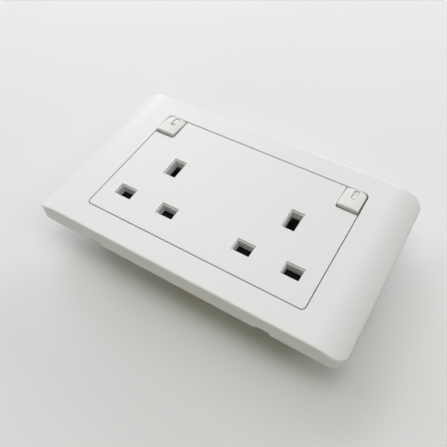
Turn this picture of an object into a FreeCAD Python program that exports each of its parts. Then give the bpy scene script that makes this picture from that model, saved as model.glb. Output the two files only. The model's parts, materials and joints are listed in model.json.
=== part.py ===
import FreeCAD, Part
import math
import os
import Sketcher

# Twin switched 13 A socket outlet with a clip-on cover frame, in millimetres.
# It lies on its back: +X along the long side, +Y towards the earth apertures, +Z out of the face.
# The origin is midway between the two fixing holes, in the wall plane (the rim of the cover frame).

# Driving sizes. Every one can be set by itself.
SIZES = {
    "cover": {
        "end_border": 21.375,
        "side_border": 11.35,
        "cover_height": 9.4,
        "cover_corner": 5.5,
        "cover_edge": 0.7,
        "cover_skin": 2.0,
        "cover_wall": 2.2,
        "roll_width": 12.5,
        "roll_radius": 20.0,
        "lip_wall": 1.6,
        "opening_edge": 0.25,
        "hook_spacing": 82.0,
        "hook_width": 8.0,
        "hook_reach": 2.2,
        "hook_depth": 1.8,
        "hook_clearance": 0.3,
        "notch_width": 6.0,
        "notch_height": 1.6,
    },
    "chassis": {
        "chassis_end_gap": 4.5,
        "chassis_side_gap": 3.2,
        "chassis_corner": 3.0,
        "chassis_thickness": 1.8,
        "chassis_stand": 3.2,
        "chassis_overhang": 2.5,
        "skirt_wall": 1.6,
        "chassis_end_ledge": 2.6,
        "chassis_side_ledge": 1.9,
        "chassis_opening_corner": 2.0,
        "fixing_gap": 6.3,
        "fixing_hole": 2.1,
        "fixing_boss": 5.0,
        "rib_wall": 1.2,
        "rib_gap": 2.5,
        "rib_height": 2.2,
    },
    "panel": {
        "panel_end_margin": 10.985,
        "panel_lower_margin": 13.05,
        "panel_upper_margin": 28.02,
        "panel_corner": 1.6,
        "panel_skin": 2.2,
        "panel_wall": 1.8,
        "panel_gap": 0.35,
        "panel_edge": 0.25,
        "outlet_spacing": 60.05,
        "line_spacing": 22.23,
        "earth_rise": 22.23,
        "line_rim_width": 8.4,
        "line_rim_height": 6.15,
        "line_slot_width": 7.4,
        "line_slot_height": 5.1,
        "earth_rim_width": 6.3,
        "earth_rim_height": 10.2,
        "earth_slot_width": 5.2,
        "earth_slot_height": 9.1,
        "rim_depth": 0.9,
        "tunnel_depth": 5.0,
        "tunnel_wall": 1.2,
        "notch_corner": 1.2,
        "notch_side_gap": 0.45,
        "notch_end_gap": 0.75,
        "front_boss": 2.3,
        "screw_upper_spacing": 32.0,
        "screw_upper_inset": 5.2,
        "screw_lower_inset": 5.3,
        "screw_end_inset": 5.1,
    },
    "rocker": {
        "rocker_side_gap": 0.425,
        "rocker_end_gap": 0.35,
        "rocker_pivot_depth": 2.6,
        "rocker_width": 9.7,
        "rocker_reach": 5.9,
        "rocker_brow": 1.8,
        "rocker_rise": 3.2,
        "rocker_dome": 0.5,
        "rocker_base": 0.2,
        "rocker_wall": 0.9,
        "rocker_skin": 1.0,
        "rocker_inner_corner": 1.0,
        "rocker_outer_corner": 1.8,
        "rocker_small_corner": 0.3,
        "rocker_tilt": 8.0,
        "stem_radius": 1.8,
        "stem_length": 5.0,
        "bore_radius": 1.25,
        "bore_top": 1.6,
        "trunnion_radius": 1.2,
        "trunnion_reach": 3.75,
        "window_centre": 2.15,
        "window_width": 2.5,
        "window_length": 5.9,
        "window_corner": 1.0,
        "window_recess": 0.4,
        "lamp_radius": 0.9,
        "lamp_length": 5.0,
        "lamp_row": 3.7,
        "lamp_clearance": 0.1,
        "plunger_length": 12.0,
        "plunger_pin": 0.8,
        "plunger_tip": 0.35,
        "plunger_head": 1.2,
        "plunger_head_top": 2.6,
        "plunger_head_length": 2.2,
        "plunger_wire": 0.18,
        "plunger_spring_play": 0.15,
        "plunger_turns": 4.0,
    },
    "switch": {
        "lever_clearance": 0.05,
        "lever_rise": 1.0,
        "lever_thickness": 0.9,
        "lever_groove": 0.55,
        "lever_width": 4.2,
        "lever_front": 7.4,
        "lever_back": 2.4,
        "lever_tilt": 7.0,
        "fulcrum_radius": 0.5,
        "fulcrum_foot": 0.9,
        "fulcrum_seat": 1.2,
        "fulcrum_inset": 0.2,
        "fulcrum_pedestal_width": 3.6,
        "fulcrum_pedestal_length": 2.8,
        "tip_reach": 6.0,
        "tip_radius": 1.3,
        "tip_height": 0.6,
        "fixed_tip_height": 0.5,
        "finger_gap": 4.0,
        "finger_setback": 8.55,
        "finger_lap": 0.3,
        "riser_width": 1.55,
    },
    "housing": {
        "housing_end_reach": 1.875,
        "housing_side_inset": 1.15,
        "layer_gap": 3.2,
        "housing_corner": 4.0,
        "housing_chamfer": 1.8,
        "housing_wall": 2.0,
        "housing_floor": 2.0,
        "shelf_height": 2.5,
        "partition_wall": 1.5,
        "lower_partition_rise": 9.1,
        "upper_partition_gap": 1.2,
        "shelf_offset": 6.75,
        "shelf_wall": 0.8,
        "shelf_length": 14.7,
        "pin_pedestal": 3.0,
        "earth_pedestal": 4.0,
        "strip_clearance": 0.2,
        "bearing_inner": 2.5,
        "bearing_wall": 1.2,
        "bearing_half": 1.95,
        "bearing_top": 1.75,
        "bearing_clearance": 0.05,
        "housing_boss": 3.5,
        "screw_radius": 1.25,
        "screw_clearance": 0.35,
        "screw_head": 2.7,
        "screw_head_height": 1.8,
        "screw_head_recess": 2.6,
        "screw_recess_radius": 3.0,
        "screw_bite": 4.6,
        "well_width": 12.0,
        "well_depth": 6.7,
        "well_wall": 1.2,
        "well_ceiling": 1.4,
        "terminal_setback": 5.5,
        "well_inner": 4.6,
    },
    "contacts": {
        "strip_thickness": 0.8,
        "line_strip_depth": 10.4,
        "leaf_thickness": 0.7,
        "leaf_root": 2.4,
        "leaf_knee": 0.35,
        "leaf_pinch": 1.8,
        "leaf_mouth": 2.6,
        "leaf_lead": 1.8,
        "line_leaf_top": 0.2,
        "line_leaf_width": 6.2,
        "earth_leaf_top": -3.8,
        "earth_leaf_width": 7.4,
        "earth_bar_width": 7.0,
        "neutral_bar_inset": 4.9,
        "neutral_bar_height": 5.4,
        "neutral_bar_overhang": 3.1,
        "feed_width": 3.6,
        "foot_half": 3.0,
        "foot_reach": 2.5,
        "load_width": 4.0,
        "load_shift": 2.3,
        "load_gap": 0.7,
        "load_turn": 3.6,
    },
    "terminal": {
        "terminal_width": 10.0,
        "terminal_length": 7.8,
        "terminal_height": 5.2,
        "wire_radius": 1.9,
        "wire_depth": 2.9,
        "stake_half": 1.4,
        "clamp_radius": 1.4,
        "clamp_length": 2.4,
        "clamp_head": 2.4,
        "clamp_head_height": 1.2,
        "driver_slot": 0.6,
        "driver_depth": 0.6,
    },
    "shutter": {
        "shutter_rim": 0.485,
        "shutter_lower": 2.95,
        "shutter_upper": 10.0,
        "shutter_thickness": 1.6,
        "shutter_clearance": 0.2,
        "shutter_travel": 5.4,
        "shutter_window_width": 6.8,
        "shutter_window_height": 5.2,
        "ramp_half": 2.0,
        "ramp_lead": 3.93,
        "ramp_thickness": 2.0,
        "spring_offset": 4.5,
        "spring_slot": 3.2,
        "spring_slot_drop": 2.3,
        "spring_slot_length": 11.0,
        "spring_seat_gap": 0.3,
        "spring_post": 1.7,
        "spring_post_width": 1.6,
        "spring_coil": 1.2,
        "spring_wire": 0.2,
        "spring_turns": 5.0,
        "spring_lengths": 8.0,
        "post_rib_top": 1.2,
        "post_rib_length": 5.3,
    },
}


class Formula:
    """A length that knows its value and the expression that binds it to the sheet."""

    def __init__(self, text, value):
        self.text = text
        self.value = value

    def join(self, other, sign, value):
        return Formula("(%s %s %s)" % (self.text, sign, formula(other).text), value)

    def __add__(self, other):
        return self.join(other, "+", self.value + formula(other).value)

    def __radd__(self, other):
        return formula(other) + self

    def __sub__(self, other):
        return self.join(other, "-", self.value - formula(other).value)

    def __rsub__(self, other):
        return formula(other) - self

    def __mul__(self, other):
        return self.join(other, "*", self.value * formula(other).value)

    def __rmul__(self, other):
        return formula(other) * self

    def __truediv__(self, other):
        return self.join(other, "/", self.value / formula(other).value)

    def __neg__(self):
        return formula(-1) * self


def formula(number):
    if isinstance(number, Formula):
        return number
    return Formula("(%r)" % float(number), float(number))


def root(number):
    return Formula("sqrt(%s)" % number.text, math.sqrt(number.value))


document = FreeCAD.newDocument("twin_socket")
sheet = document.addObject("Spreadsheet::Sheet", "sizes")


class Sizes:
    """The sheet's cells, each read by its alias."""


def fill_sheet():
    row = 1
    for group, cells in SIZES.items():
        sheet.set("A%d" % row, group)
        row += 1
        for alias, number in cells.items():
            sheet.set("A%d" % row, alias.replace("_", " "))
            sheet.set("B%d" % row, str(number))
            sheet.setAlias("B%d" % row, alias)
            row += 1
    document.recompute()
    size = Sizes()
    for cells in SIZES.values():
        for alias in cells:
            setattr(size, alias, Formula("sizes." + alias, float(sheet.get(alias))))
    return size


s = fill_sheet()

NODES = []


def bind(owner, name, length):
    owner.setExpression(name, formula(length).text)


def place(thing, x=0, y=0, z=0, axis=None, angle=0):
    """Binds the placement: a turn about the thing's own origin, then a shift."""
    if axis:
        start = FreeCAD.Rotation(FreeCAD.Vector(*axis), formula(angle).value)
        thing.Placement = FreeCAD.Placement(FreeCAD.Vector(0, 0, 0), start)
        bind(thing, "Placement.Rotation.Angle", formula(angle))
    bind(thing, "Placement.Base.x", x)
    bind(thing, "Placement.Base.y", y)
    bind(thing, "Placement.Base.z", z)


def node(thing, name):
    thing.Label = name
    NODES.append(thing)
    return thing


# Outlines: lists of (x, y) or (x, y, radius). A radius makes an arc to the next point,
# counter-clockwise if positive and clockwise if negative.
def rectangle(left, right, bottom, top):
    return [(left, bottom), (right, bottom), (right, top), (left, top)]


def rounded(left, right, bottom, top, *radii):
    """Radii in the order lower left, lower right, upper right, upper left, or one for all."""
    lower_left, lower_right, upper_right, upper_left = radii * 4 if len(radii) == 1 else radii
    return [
        (left + lower_left, bottom),
        (right - lower_right, bottom, lower_right),
        (right, bottom + lower_right),
        (right, top - upper_right, upper_right),
        (right - upper_right, top),
        (left + upper_left, top, upper_left),
        (left, top - upper_left),
        (left, bottom + lower_left, lower_left),
    ]


def circle(x, y, radius):
    return ("circle", x, y, radius)


def arc_between(start, end, radius):
    """The arc from start to end, and the ends of the arc that start and end lie at."""
    if radius < 0:
        start, end = end, start
    chord = end.sub(start)
    middle = start.add(end).multiply(0.5)
    rise = math.sqrt(max(radius * radius - chord.Length * chord.Length / 4, 0))
    centre = middle.add(FreeCAD.Vector(-chord.y, chord.x, 0).normalize().multiply(rise))
    first = math.atan2(start.y - centre.y, start.x - centre.x)
    last = math.atan2(end.y - centre.y, end.x - centre.x)
    arc = Part.ArcOfCircle(Part.Circle(centre, FreeCAD.Vector(0, 0, 1), abs(radius)), first, last)
    return arc, (1, 2) if radius > 0 else (2, 1)


def hold(geometry, vertex, x, y):
    """Ties a point to its place: to an axis where a coordinate is nought, else by a length."""
    ties = []
    for kind, axis, length in (("DistanceX", -2, x), ("DistanceY", -1, y)):
        if not isinstance(length, Formula) and length == 0:
            ties.append((Sketcher.Constraint("PointOnObject", geometry, vertex, axis), None))
        else:
            value = formula(length).value
            ties.append((Sketcher.Constraint(kind, geometry, vertex, value), length))
    return ties


def draw(sketch, loop):
    """Adds one closed outline and returns what ties it down."""
    if loop[0] == "circle":
        x, y, radius = loop[1:]
        centre = FreeCAD.Vector(formula(x).value, formula(y).value, 0)
        size = formula(radius).value
        index = sketch.addGeometry(Part.Circle(centre, FreeCAD.Vector(0, 0, 1), size), False)
        return hold(index, 3, x, y) + [(Sketcher.Constraint("Radius", index, size), radius)]
    corners = [FreeCAD.Vector(formula(p[0]).value, formula(p[1]).value, 0) for p in loop]
    edges = []
    for index, point in enumerate(loop):
        start = corners[index]
        end = corners[(index + 1) % len(loop)]
        if len(point) == 3:
            shape, ends = arc_between(start, end, formula(point[2]).value)
        else:
            shape, ends = Part.LineSegment(start, end), (1, 2)
        edges.append((sketch.addGeometry(shape, False), ends))
    ties = []
    for index, point in enumerate(loop):
        edge, ends = edges[index]
        following, following_ends = edges[(index + 1) % len(loop)]
        joint = Sketcher.Constraint("Coincident", edge, ends[1], following, following_ends[0])
        ties.append((joint, None))
        ties += hold(edge, ends[0], point[0], point[1])
        if len(point) == 3:
            turned = point[2] if formula(point[2]).value > 0 else -formula(point[2])
            size = formula(turned).value
            ties.append((Sketcher.Constraint("Radius", edge, size), turned))
    return ties


def make_body(name):
    body = document.addObject("PartDesign::Body", name)
    return node(body, name)


def origin_item(body, role):
    return [item for item in body.Origin.OriginFeatures if item.Role == role][0]


def make_sketch(body, plane, offset, loops):
    sketch = body.newObject("Sketcher::SketchObject", "outline")
    sketch.AttachmentSupport = [(origin_item(body, plane + "_Plane"), "")]
    sketch.MapMode = "FlatFace"
    # the XZ plane's normal points along -Y
    bind(sketch, "AttachmentOffset.Base.z", -offset if plane == "XZ" else offset)
    ties = [tie for loop in loops for tie in draw(sketch, loop)]
    sketch.addConstraint([constraint for constraint, length in ties])
    for index, (constraint, length) in enumerate(ties):
        if length is not None:
            bind(sketch, "Constraints[%d]" % index, length)
    return sketch


def volume(body):
    shape = body.Shape
    return 0 if shape.isNull() else shape.Volume


def extrude(kind, body, plane, loops, low, high):
    """A pad or pocket of the outlines between two heights along the plane's axis."""
    before = volume(body)
    low = formula(low)
    high = formula(high)
    sketch = make_sketch(body, plane, (low + high) / 2, loops)
    feature = body.newObject("PartDesign::" + kind, kind.lower())
    feature.Profile = sketch
    feature.SideType = "Symmetric"
    feature.Length = high.value - low.value
    bind(feature, "Length", high - low)
    document.recompute()
    change = volume(body) - before
    if abs(change) < 1e-4 or (change > 0) != (kind == "Pad"):
        raise RuntimeError("%s of %s changed the volume by %.5f" % (kind, body.Label, change))
    return feature


def pad(body, plane, loops, low, high):
    return extrude("Pad", body, plane, loops, low, high)


def pocket(body, plane, loops, low, high):
    return extrude("Pocket", body, plane, loops, low, high)


def dress(kind, body, size, choose):
    """A fillet or chamfer on the edges that choose picks."""
    base = body.Tip
    names = ["Edge%d" % (i + 1) for i, edge in enumerate(base.Shape.Edges) if choose(edge)]
    if not names:
        raise RuntimeError("no edge to dress on " + body.Label)
    feature = body.newObject("PartDesign::" + kind, kind.lower())
    feature.Base = (base, names)
    name = "Radius" if kind == "Fillet" else "Size"
    setattr(feature, name, size.value)
    bind(feature, name, size)
    document.recompute()
    return feature


def near(first, second, slack=1e-3):
    return abs(first - formula(second).value) < slack


def middle(edge):
    return edge.valueAt((edge.FirstParameter + edge.LastParameter) / 2)


def half(length):
    return length / 2


# Lengths, heights and places that several pieces share. The pins set them: the panel is drawn
# round the apertures, the rockers, housing and cover frame round the panel.
panel_length = s.outlet_spacing + s.line_spacing + 2 * s.panel_end_margin
panel_width = s.earth_rise + s.panel_lower_margin + s.panel_upper_margin
line_row = s.panel_lower_margin - half(panel_width)
earth_row = line_row + s.earth_rise
opening_half_length = half(panel_length) + s.panel_gap
opening_half_width = half(panel_width) + s.panel_gap
rocker_offset = opening_half_length - s.rocker_side_gap - half(s.rocker_width)
rocker_row = opening_half_width - s.rocker_end_gap - s.rocker_reach
cover_length = panel_length + 2 * s.end_border
cover_width = panel_width + 2 * s.side_border
housing_length = panel_length + 2 * s.housing_end_reach
housing_width = panel_width - 2 * s.housing_side_inset
fixing_offset = half(housing_length) + s.fixing_gap
finger_front = rocker_row - s.finger_setback
lower_partition = line_row + s.lower_partition_rise
upper_partition = finger_front - s.upper_partition_gap - s.partition_wall
load_inner = rocker_offset - s.load_shift - half(s.load_width)
load_outer = load_inner + s.load_width
load_row = lower_partition - s.load_gap
ramp_start = earth_row - s.ramp_lead
spring_slot_start = line_row - s.spring_slot_drop
spring_slot_end = spring_slot_start + s.spring_slot_length
face = s.cover_height
chassis_top = s.chassis_stand + s.chassis_thickness
housing_depth = s.line_strip_depth + s.layer_gap + s.strip_thickness + s.well_ceiling + s.well_depth
floor_top = s.housing_floor - housing_depth
pivot_height = face - s.rocker_pivot_depth
well_top = s.well_depth - housing_depth
ceiling_top = well_top + s.well_ceiling
line_strip = -s.line_strip_depth
line_strip_top = line_strip + s.strip_thickness
shutter_top = face - s.tunnel_depth - s.shutter_clearance
shutter_bottom = shutter_top - s.shutter_thickness
spring_height = half(shutter_top + shutter_bottom)
spring_post_start = spring_slot_start + s.spring_seat_gap
spring_seat = spring_post_start + s.spring_post
lever_axis = pivot_height - s.plunger_length - s.lever_clearance - s.lever_rise
finger_bottom = lever_axis + s.finger_gap - s.fixed_tip_height - half(s.strip_thickness)
SIDES = {"left": -1, "right": 1}
SCREWS = [
    (side * half(spacing), row)
    for side in SIDES.values()
    for spacing, row in (
        (s.screw_upper_spacing, half(housing_width) - s.screw_upper_inset),
        (housing_length - 2 * s.screw_end_inset, s.screw_lower_inset - half(housing_width)),
    )
]


def outlet_x(side):
    return side * half(s.outlet_spacing)


def line_x(side):
    """The line aperture is on the right of each outlet."""
    return outlet_x(side) + half(s.line_spacing)


def neutral_x(side):
    return outlet_x(side) - half(s.line_spacing)


def span(centre, half_width):
    return centre - half_width, centre + half_width


def in_order(*lengths):
    return sorted(lengths, key=lambda length: length.value)


def cover_profile(inset, base):
    """The long section: flat across the middle, rolling down to each end."""
    start = half(cover_length) - s.roll_width
    top = face - inset
    if isinstance(inset, Formula):
        end = half(cover_length) - s.cover_wall
        radius = s.roll_radius - inset
    else:
        end = half(cover_length)
        radius = s.roll_radius
    run = end - start
    shoulder = top - radius + root(radius * radius - run * run)
    return [
        (-end, base),
        (end, base),
        (end, shoulder, radius),
        (start, top),
        (-start, top, radius),
        (-end, shoulder),
    ]


def build_cover_frame():
    body = make_body("cover_frame")
    half_length = half(cover_length)
    half_width = half(cover_width)
    inner = half_width - s.cover_wall
    pad(body, "XZ", [cover_profile(0, 0)], -half_width, half_width)
    plan = rounded(-half_length, half_length, -half_width, half_width, s.cover_corner)
    margin = s.cover_corner
    around = rectangle(
        -half_length - margin, half_length + margin, -half_width - margin, half_width + margin
    )
    pocket(body, "XY", [around, plan], -1, face + 1)

    run = s.roll_width.value
    drop = s.roll_radius.value - math.sqrt(s.roll_radius.value ** 2 - run * run)
    shoulder = face.value - drop

    def upper_rim(edge):
        point = middle(edge)
        reach = max(abs(point.x) - half_length.value, abs(point.y) - half_width.value)
        corner = s.cover_corner.value
        across = abs(point.x) - half_length.value + corner
        along = abs(point.y) - half_width.value + corner
        on_corner = across > 0 and along > 0 and abs(math.hypot(across, along) - corner) < 1e-3
        return edge.BoundBox.ZMin > shoulder - 1e-3 and (abs(reach) < 1e-3 or on_corner)

    dress("Fillet", body, s.cover_edge, upper_rim)
    pocket(body, "XZ", [cover_profile(s.cover_skin, -1)], -inner, inner)

    def cavity_corner(edge):
        point = middle(edge)
        upright = edge.BoundBox.XLength < 1e-3 and edge.BoundBox.YLength < 1e-3
        return upright and near(abs(point.y), inner) and near(abs(point.x), half_length - s.cover_wall)

    dress("Fillet", body, s.cover_corner - s.cover_wall, cavity_corner)
    corner = s.panel_corner + s.panel_gap
    opening = rounded(
        -opening_half_length, opening_half_length, -opening_half_width, opening_half_width, corner
    )
    pocket(body, "XY", [opening], 0, face + 1)

    def opening_rim(edge):
        point = middle(edge)
        inside = abs(point.x) < opening_half_length.value + 0.01
        return inside and near(point.z, face) and abs(point.y) < opening_half_width.value + 0.01

    dress("Chamfer", body, s.opening_edge, opening_rim)
    lip = rounded(
        -opening_half_length - s.lip_wall,
        opening_half_length + s.lip_wall,
        -opening_half_width - s.lip_wall,
        opening_half_width + s.lip_wall,
        corner + s.lip_wall,
    )
    pad(body, "XY", [lip, opening], chassis_top, face - half(s.cover_skin))
    hook_top = s.chassis_stand - s.hook_clearance
    for side in (-1, 1):
        root_row = side * (inner + half(s.cover_wall))
        hook = [
            (root_row, hook_top - s.hook_depth),
            (side * inner, hook_top - s.hook_depth),
            (side * (inner - s.hook_reach), hook_top - s.hook_depth / 3),
            (side * (inner - s.hook_reach), hook_top),
            (root_row, hook_top),
        ]
        for end in (-1, 1):
            centre = end * half(s.hook_spacing)
            pad(body, "YZ", [hook], *span(centre, half(s.hook_width)))
    notches = [
        rectangle(*span(side * half(s.hook_spacing), half(s.notch_width)), -1, s.notch_height)
        for side in (-1, 1)
    ]
    pocket(body, "XZ", notches, -half_width - 1, -inner)


def build_mounting_frame():
    body = make_body("mounting_frame")
    half_length = half(cover_length) - s.chassis_end_gap
    half_width = half(cover_width) - s.chassis_side_gap
    plate = rounded(-half_length, half_length, -half_width, half_width, s.chassis_corner)
    hole_length = half(housing_length) - s.chassis_end_ledge
    hole_width = half(housing_width) - s.chassis_side_ledge
    hole = rounded(-hole_length, hole_length, -hole_width, hole_width, s.chassis_opening_corner)
    pad(body, "XY", [plate, hole], s.chassis_stand, chassis_top)
    overlap = s.chassis_stand + half(s.chassis_thickness)
    outer_x = half_length - s.chassis_overhang
    outer_y = half_width - s.chassis_overhang
    skirt = rectangle(-outer_x, outer_x, -outer_y, outer_y)
    inner_x = outer_x - s.skirt_wall
    inner_y = outer_y - s.skirt_wall
    pad(body, "XY", [skirt, rectangle(-inner_x, inner_x, -inner_y, inner_y)], 0, overlap)
    fixing = fixing_offset
    bosses = [circle(side * fixing, 0, s.fixing_boss) for side in (-1, 1)]
    pad(body, "XY", bosses, 0, overlap)
    for side in (-1, 1):
        webs = rectangle(*span(side * fixing, half(s.rib_wall)), -inner_y, inner_y)
        pad(body, "XY", [webs], s.chassis_stand - s.rib_height, overlap)
    for side in (-1, 1):
        rib_row = half(housing_width) + s.rib_gap + half(s.rib_wall)
        rib = rectangle(-inner_x, inner_x, *span(side * rib_row, half(s.rib_wall)))
        pad(body, "XY", [rib], s.chassis_stand - s.rib_height, overlap)
    holes = [circle(side * fixing, 0, s.fixing_hole) for side in (-1, 1)]
    pocket(body, "XY", holes, -1, chassis_top + 1)


def panel_outline(inset):
    """The panel in plan, with a notch for a rocker in each upper corner."""
    x = half(panel_length) - inset
    y = half(panel_width) - inset
    notch_x = rocker_offset - half(s.rocker_width) - s.notch_side_gap - inset
    notch_y = rocker_row - s.rocker_reach - s.notch_end_gap - inset
    if isinstance(inset, Formula):
        return [
            (-x, -y), (x, -y), (x, notch_y), (notch_x, notch_y),
            (notch_x, y), (-notch_x, y), (-notch_x, notch_y), (-x, notch_y),
        ]
    corner = s.panel_corner
    turn = s.notch_corner
    return [
        (-x + corner, -y),
        (x - corner, -y, corner),
        (x, -y + corner),
        (x, notch_y),
        (notch_x + turn, notch_y, -turn),
        (notch_x, notch_y + turn),
        (notch_x, y),
        (-notch_x, y),
        (-notch_x, notch_y + turn, -turn),
        (-notch_x - turn, notch_y),
        (-x, notch_y),
        (-x, -y + corner, corner),
    ]


def apertures(line_width, line_height, earth_width, earth_height):
    """Six outlines, one for each pin."""
    loops = []
    for side in SIDES.values():
        pins = (
            (line_x(side), line_row, line_width, line_height),
            (neutral_x(side), line_row, line_width, line_height),
            (outlet_x(side), earth_row, earth_width, earth_height),
        )
        for x, y, width, height in pins:
            loops.append(rectangle(*span(x, half(width)), *span(y, half(height))))
    return loops


def build_socket_front():
    body = make_body("socket_front")
    skin_bottom = face - s.panel_skin
    overlap = face - half(s.panel_skin)
    pad(body, "XY", [panel_outline(0)], skin_bottom, face)

    def panel_rim(edge):
        return near(edge.BoundBox.ZMin, face) and near(edge.BoundBox.ZMax, face)

    dress("Chamfer", body, s.panel_edge, panel_rim)
    pad(body, "XY", [panel_outline(0), panel_outline(s.panel_wall)], chassis_top, skin_bottom)
    wall = 2 * s.tunnel_wall
    tunnels = apertures(
        s.line_slot_width + wall,
        s.line_slot_height + wall,
        s.earth_slot_width + wall,
        s.earth_slot_height + wall,
    )
    tunnel_end = face - s.tunnel_depth
    pad(body, "XY", tunnels, tunnel_end, overlap)
    slots = apertures(
        s.line_slot_width, s.line_slot_height, s.earth_slot_width, s.earth_slot_height
    )
    pocket(body, "XY", slots, tunnel_end - 1, face + 1)
    rims = apertures(
        s.line_rim_width, s.line_rim_height, s.earth_rim_width, s.earth_rim_height
    )
    pocket(body, "XY", rims, face - s.rim_depth, face + 1)
    rib_end = half(panel_width) - s.panel_wall
    rib = rectangle(*span(formula(0), half(s.rib_wall)), -rib_end, rib_end)
    pad(body, "XY", [rib], chassis_top, overlap)
    bosses = [circle(x, y, s.front_boss) for x, y in SCREWS]
    pad(body, "XY", bosses, s.chassis_stand, overlap)
    pilots = [circle(x, y, s.screw_radius) for x, y in SCREWS]
    pocket(body, "XY", pilots, s.chassis_stand - 1, s.chassis_stand + s.screw_bite)


def build_rocker(name, side):
    """Modelled level about its pivot, then tipped to the off position."""
    body = make_body("rocker_" + name)
    wide = half(s.rocker_width)
    reach = s.rocker_reach
    rise = s.rocker_rise
    brow = s.rocker_brow
    section = [
        (-reach, s.rocker_base),
        (reach, s.rocker_base),
        (reach, rise - brow, brow),
        (reach - brow, rise),
        (-reach + brow, rise, brow),
        (-reach, rise - brow),
    ]
    pad(body, "YZ", [section], -wide, wide)
    dome = s.rocker_dome
    crown = (wide * wide + dome * dome) / (2 * dome)
    above = [
        (wide, rise - dome),
        (wide + 1, rise - dome),
        (wide + 1, rise + 1),
        (-wide - 1, rise + 1),
        (-wide - 1, rise - dome),
        (-wide, rise - dome, -crown),
    ]
    pocket(body, "XZ", [above], -reach - 1, reach + 1)
    small = s.rocker_small_corner
    inner = s.rocker_inner_corner
    outer = s.rocker_outer_corner
    corners = (inner, small, outer, small) if side > 0 else (small, inner, small, outer)
    plan = rounded(-wide, wide, -reach, reach, *corners)
    around = rectangle(-wide - 1, wide + 1, -reach - 1, reach + 1)
    pocket(body, "XY", [around, plan], s.rocker_base - 1, rise + 1)
    ceiling = rise - s.rocker_skin
    hollow_x = wide - s.rocker_wall
    hollow_y = reach - s.rocker_wall
    hollow = rectangle(-hollow_x, hollow_x, -hollow_y, hollow_y)
    pocket(body, "XY", [hollow], s.rocker_base - 1, ceiling)
    pad(body, "XY", [circle(0, 0, s.stem_radius)], -s.stem_length, ceiling)
    pad(body, "YZ", [circle(0, 0, s.trunnion_radius)], -s.trunnion_reach, s.trunnion_reach)
    pocket(body, "XY", [circle(0, 0, s.bore_radius)], -s.stem_length - 1, s.bore_top)
    pocket(body, "XY", [window_outline()], ceiling, rise + 1)
    return body


def window_outline():
    wide = half(s.window_width)
    long = half(s.window_length)
    return rounded(-wide, wide, s.window_centre - long, s.window_centre + long, s.window_corner)


def build_lens(name):
    body = make_body("indicator_lens_" + name)
    top = s.rocker_rise - s.window_recess
    pad(body, "XY", [window_outline()], s.rocker_rise - s.rocker_skin, top)
    return body


def build_lamp(name):
    body = make_body("indicator_lamp_" + name)
    height = s.rocker_rise - s.rocker_skin - s.lamp_radius - s.lamp_clearance
    tube = circle(s.lamp_row, height, s.lamp_radius)
    pad(body, "YZ", [tube], *span(formula(0), half(s.lamp_length)))
    return body


def revolve(body, loop):
    sketch = make_sketch(body, "XZ", formula(0), [loop])
    feature = body.newObject("PartDesign::Revolution", "turned")
    feature.Profile = sketch
    feature.ReferenceAxis = (sketch, ["V_Axis"])
    feature.Angle = 360
    document.recompute()


def build_plunger(name):
    body = make_body("plunger_" + name)
    pin = s.plunger_pin
    foot = -s.plunger_length
    head_top = -s.plunger_head_top
    neck = head_top - s.plunger_head_length
    revolve(body, [
        (0, foot),
        (s.plunger_tip, foot),
        (pin, foot + pin - s.plunger_tip),
        (pin, neck),
        (s.plunger_head, neck),
        (s.plunger_head, head_top),
        (0, head_top),
    ])
    return body


def build_spring(name, coil, wire, length, turns):
    """A compression spring of square wire along its own Z axis, in short straight lengths."""
    lengths = round(turns.value * s.spring_lengths.value)
    rise = (length.value - 2 * wire.value) / lengths
    sections = []
    for index in range(lengths + 1):
        angle = 2 * math.pi * index / s.spring_lengths.value
        outward = FreeCAD.Vector(math.cos(angle), math.sin(angle), 0)
        corners = [
            outward * (coil.value + across * wire.value)
            + FreeCAD.Vector(0, 0, rise * index + wire.value * (1 + along))
            for across, along in ((-1, -1), (1, -1), (1, 1), (-1, 1), (-1, -1))
        ]
        sections.append(Part.makePolygon(corners))
    spring = document.addObject("Part::Feature", name)
    spring.Shape = Part.makeLoft(sections, True, True)
    return node(spring, name)


def build_lever(name):
    """The rocking contact, modelled level about the fulcrum's axis."""
    body = make_body("switch_lever_" + name)
    bottom = s.lever_rise - s.lever_thickness
    wide = half(s.lever_width)
    outline = rectangle(-s.lever_front, s.lever_back, bottom, s.lever_rise)
    pad(body, "YZ", [outline], -wide, wide)
    pocket(body, "YZ", [circle(0, 0, s.lever_groove)], -wide - 1, wide + 1)
    return body


def build_moving_tip(name):
    body = make_body("moving_tip_" + name)
    disc = circle(0, -s.tip_reach, s.tip_radius)
    pad(body, "XY", [disc], s.lever_rise, s.lever_rise + s.tip_height)
    return body


def build_switch(name, side):
    x = side * rocker_offset
    tipped = {"x": x, "y": rocker_row, "z": pivot_height, "axis": (-1, 0, 0), "angle": s.rocker_tilt}
    for piece in (build_rocker(name, side), build_lens(name), build_lamp(name), build_plunger(name)):
        place(piece, **tipped)
    gap = s.bore_top + s.plunger_head_top
    spring = build_spring(
        "plunger_spring_" + name,
        s.bore_radius - s.plunger_spring_play - s.plunger_wire,
        s.plunger_wire,
        gap,
        s.plunger_turns,
    )
    # the spring stands on the plunger's head, along the tipped bore
    lean = Formula("sin(%s * 1 deg)" % s.rocker_tilt.text, math.sin(math.radians(s.rocker_tilt.value)))
    up = Formula("cos(%s * 1 deg)" % s.rocker_tilt.text, math.cos(math.radians(s.rocker_tilt.value)))
    tipped["y"] = rocker_row - s.plunger_head_top * lean
    tipped["z"] = pivot_height - s.plunger_head_top * up
    place(spring, **tipped)
    for piece in (build_lever(name), build_moving_tip(name)):
        place(piece, x, rocker_row, lever_axis, (1, 0, 0), s.lever_tilt)


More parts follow.
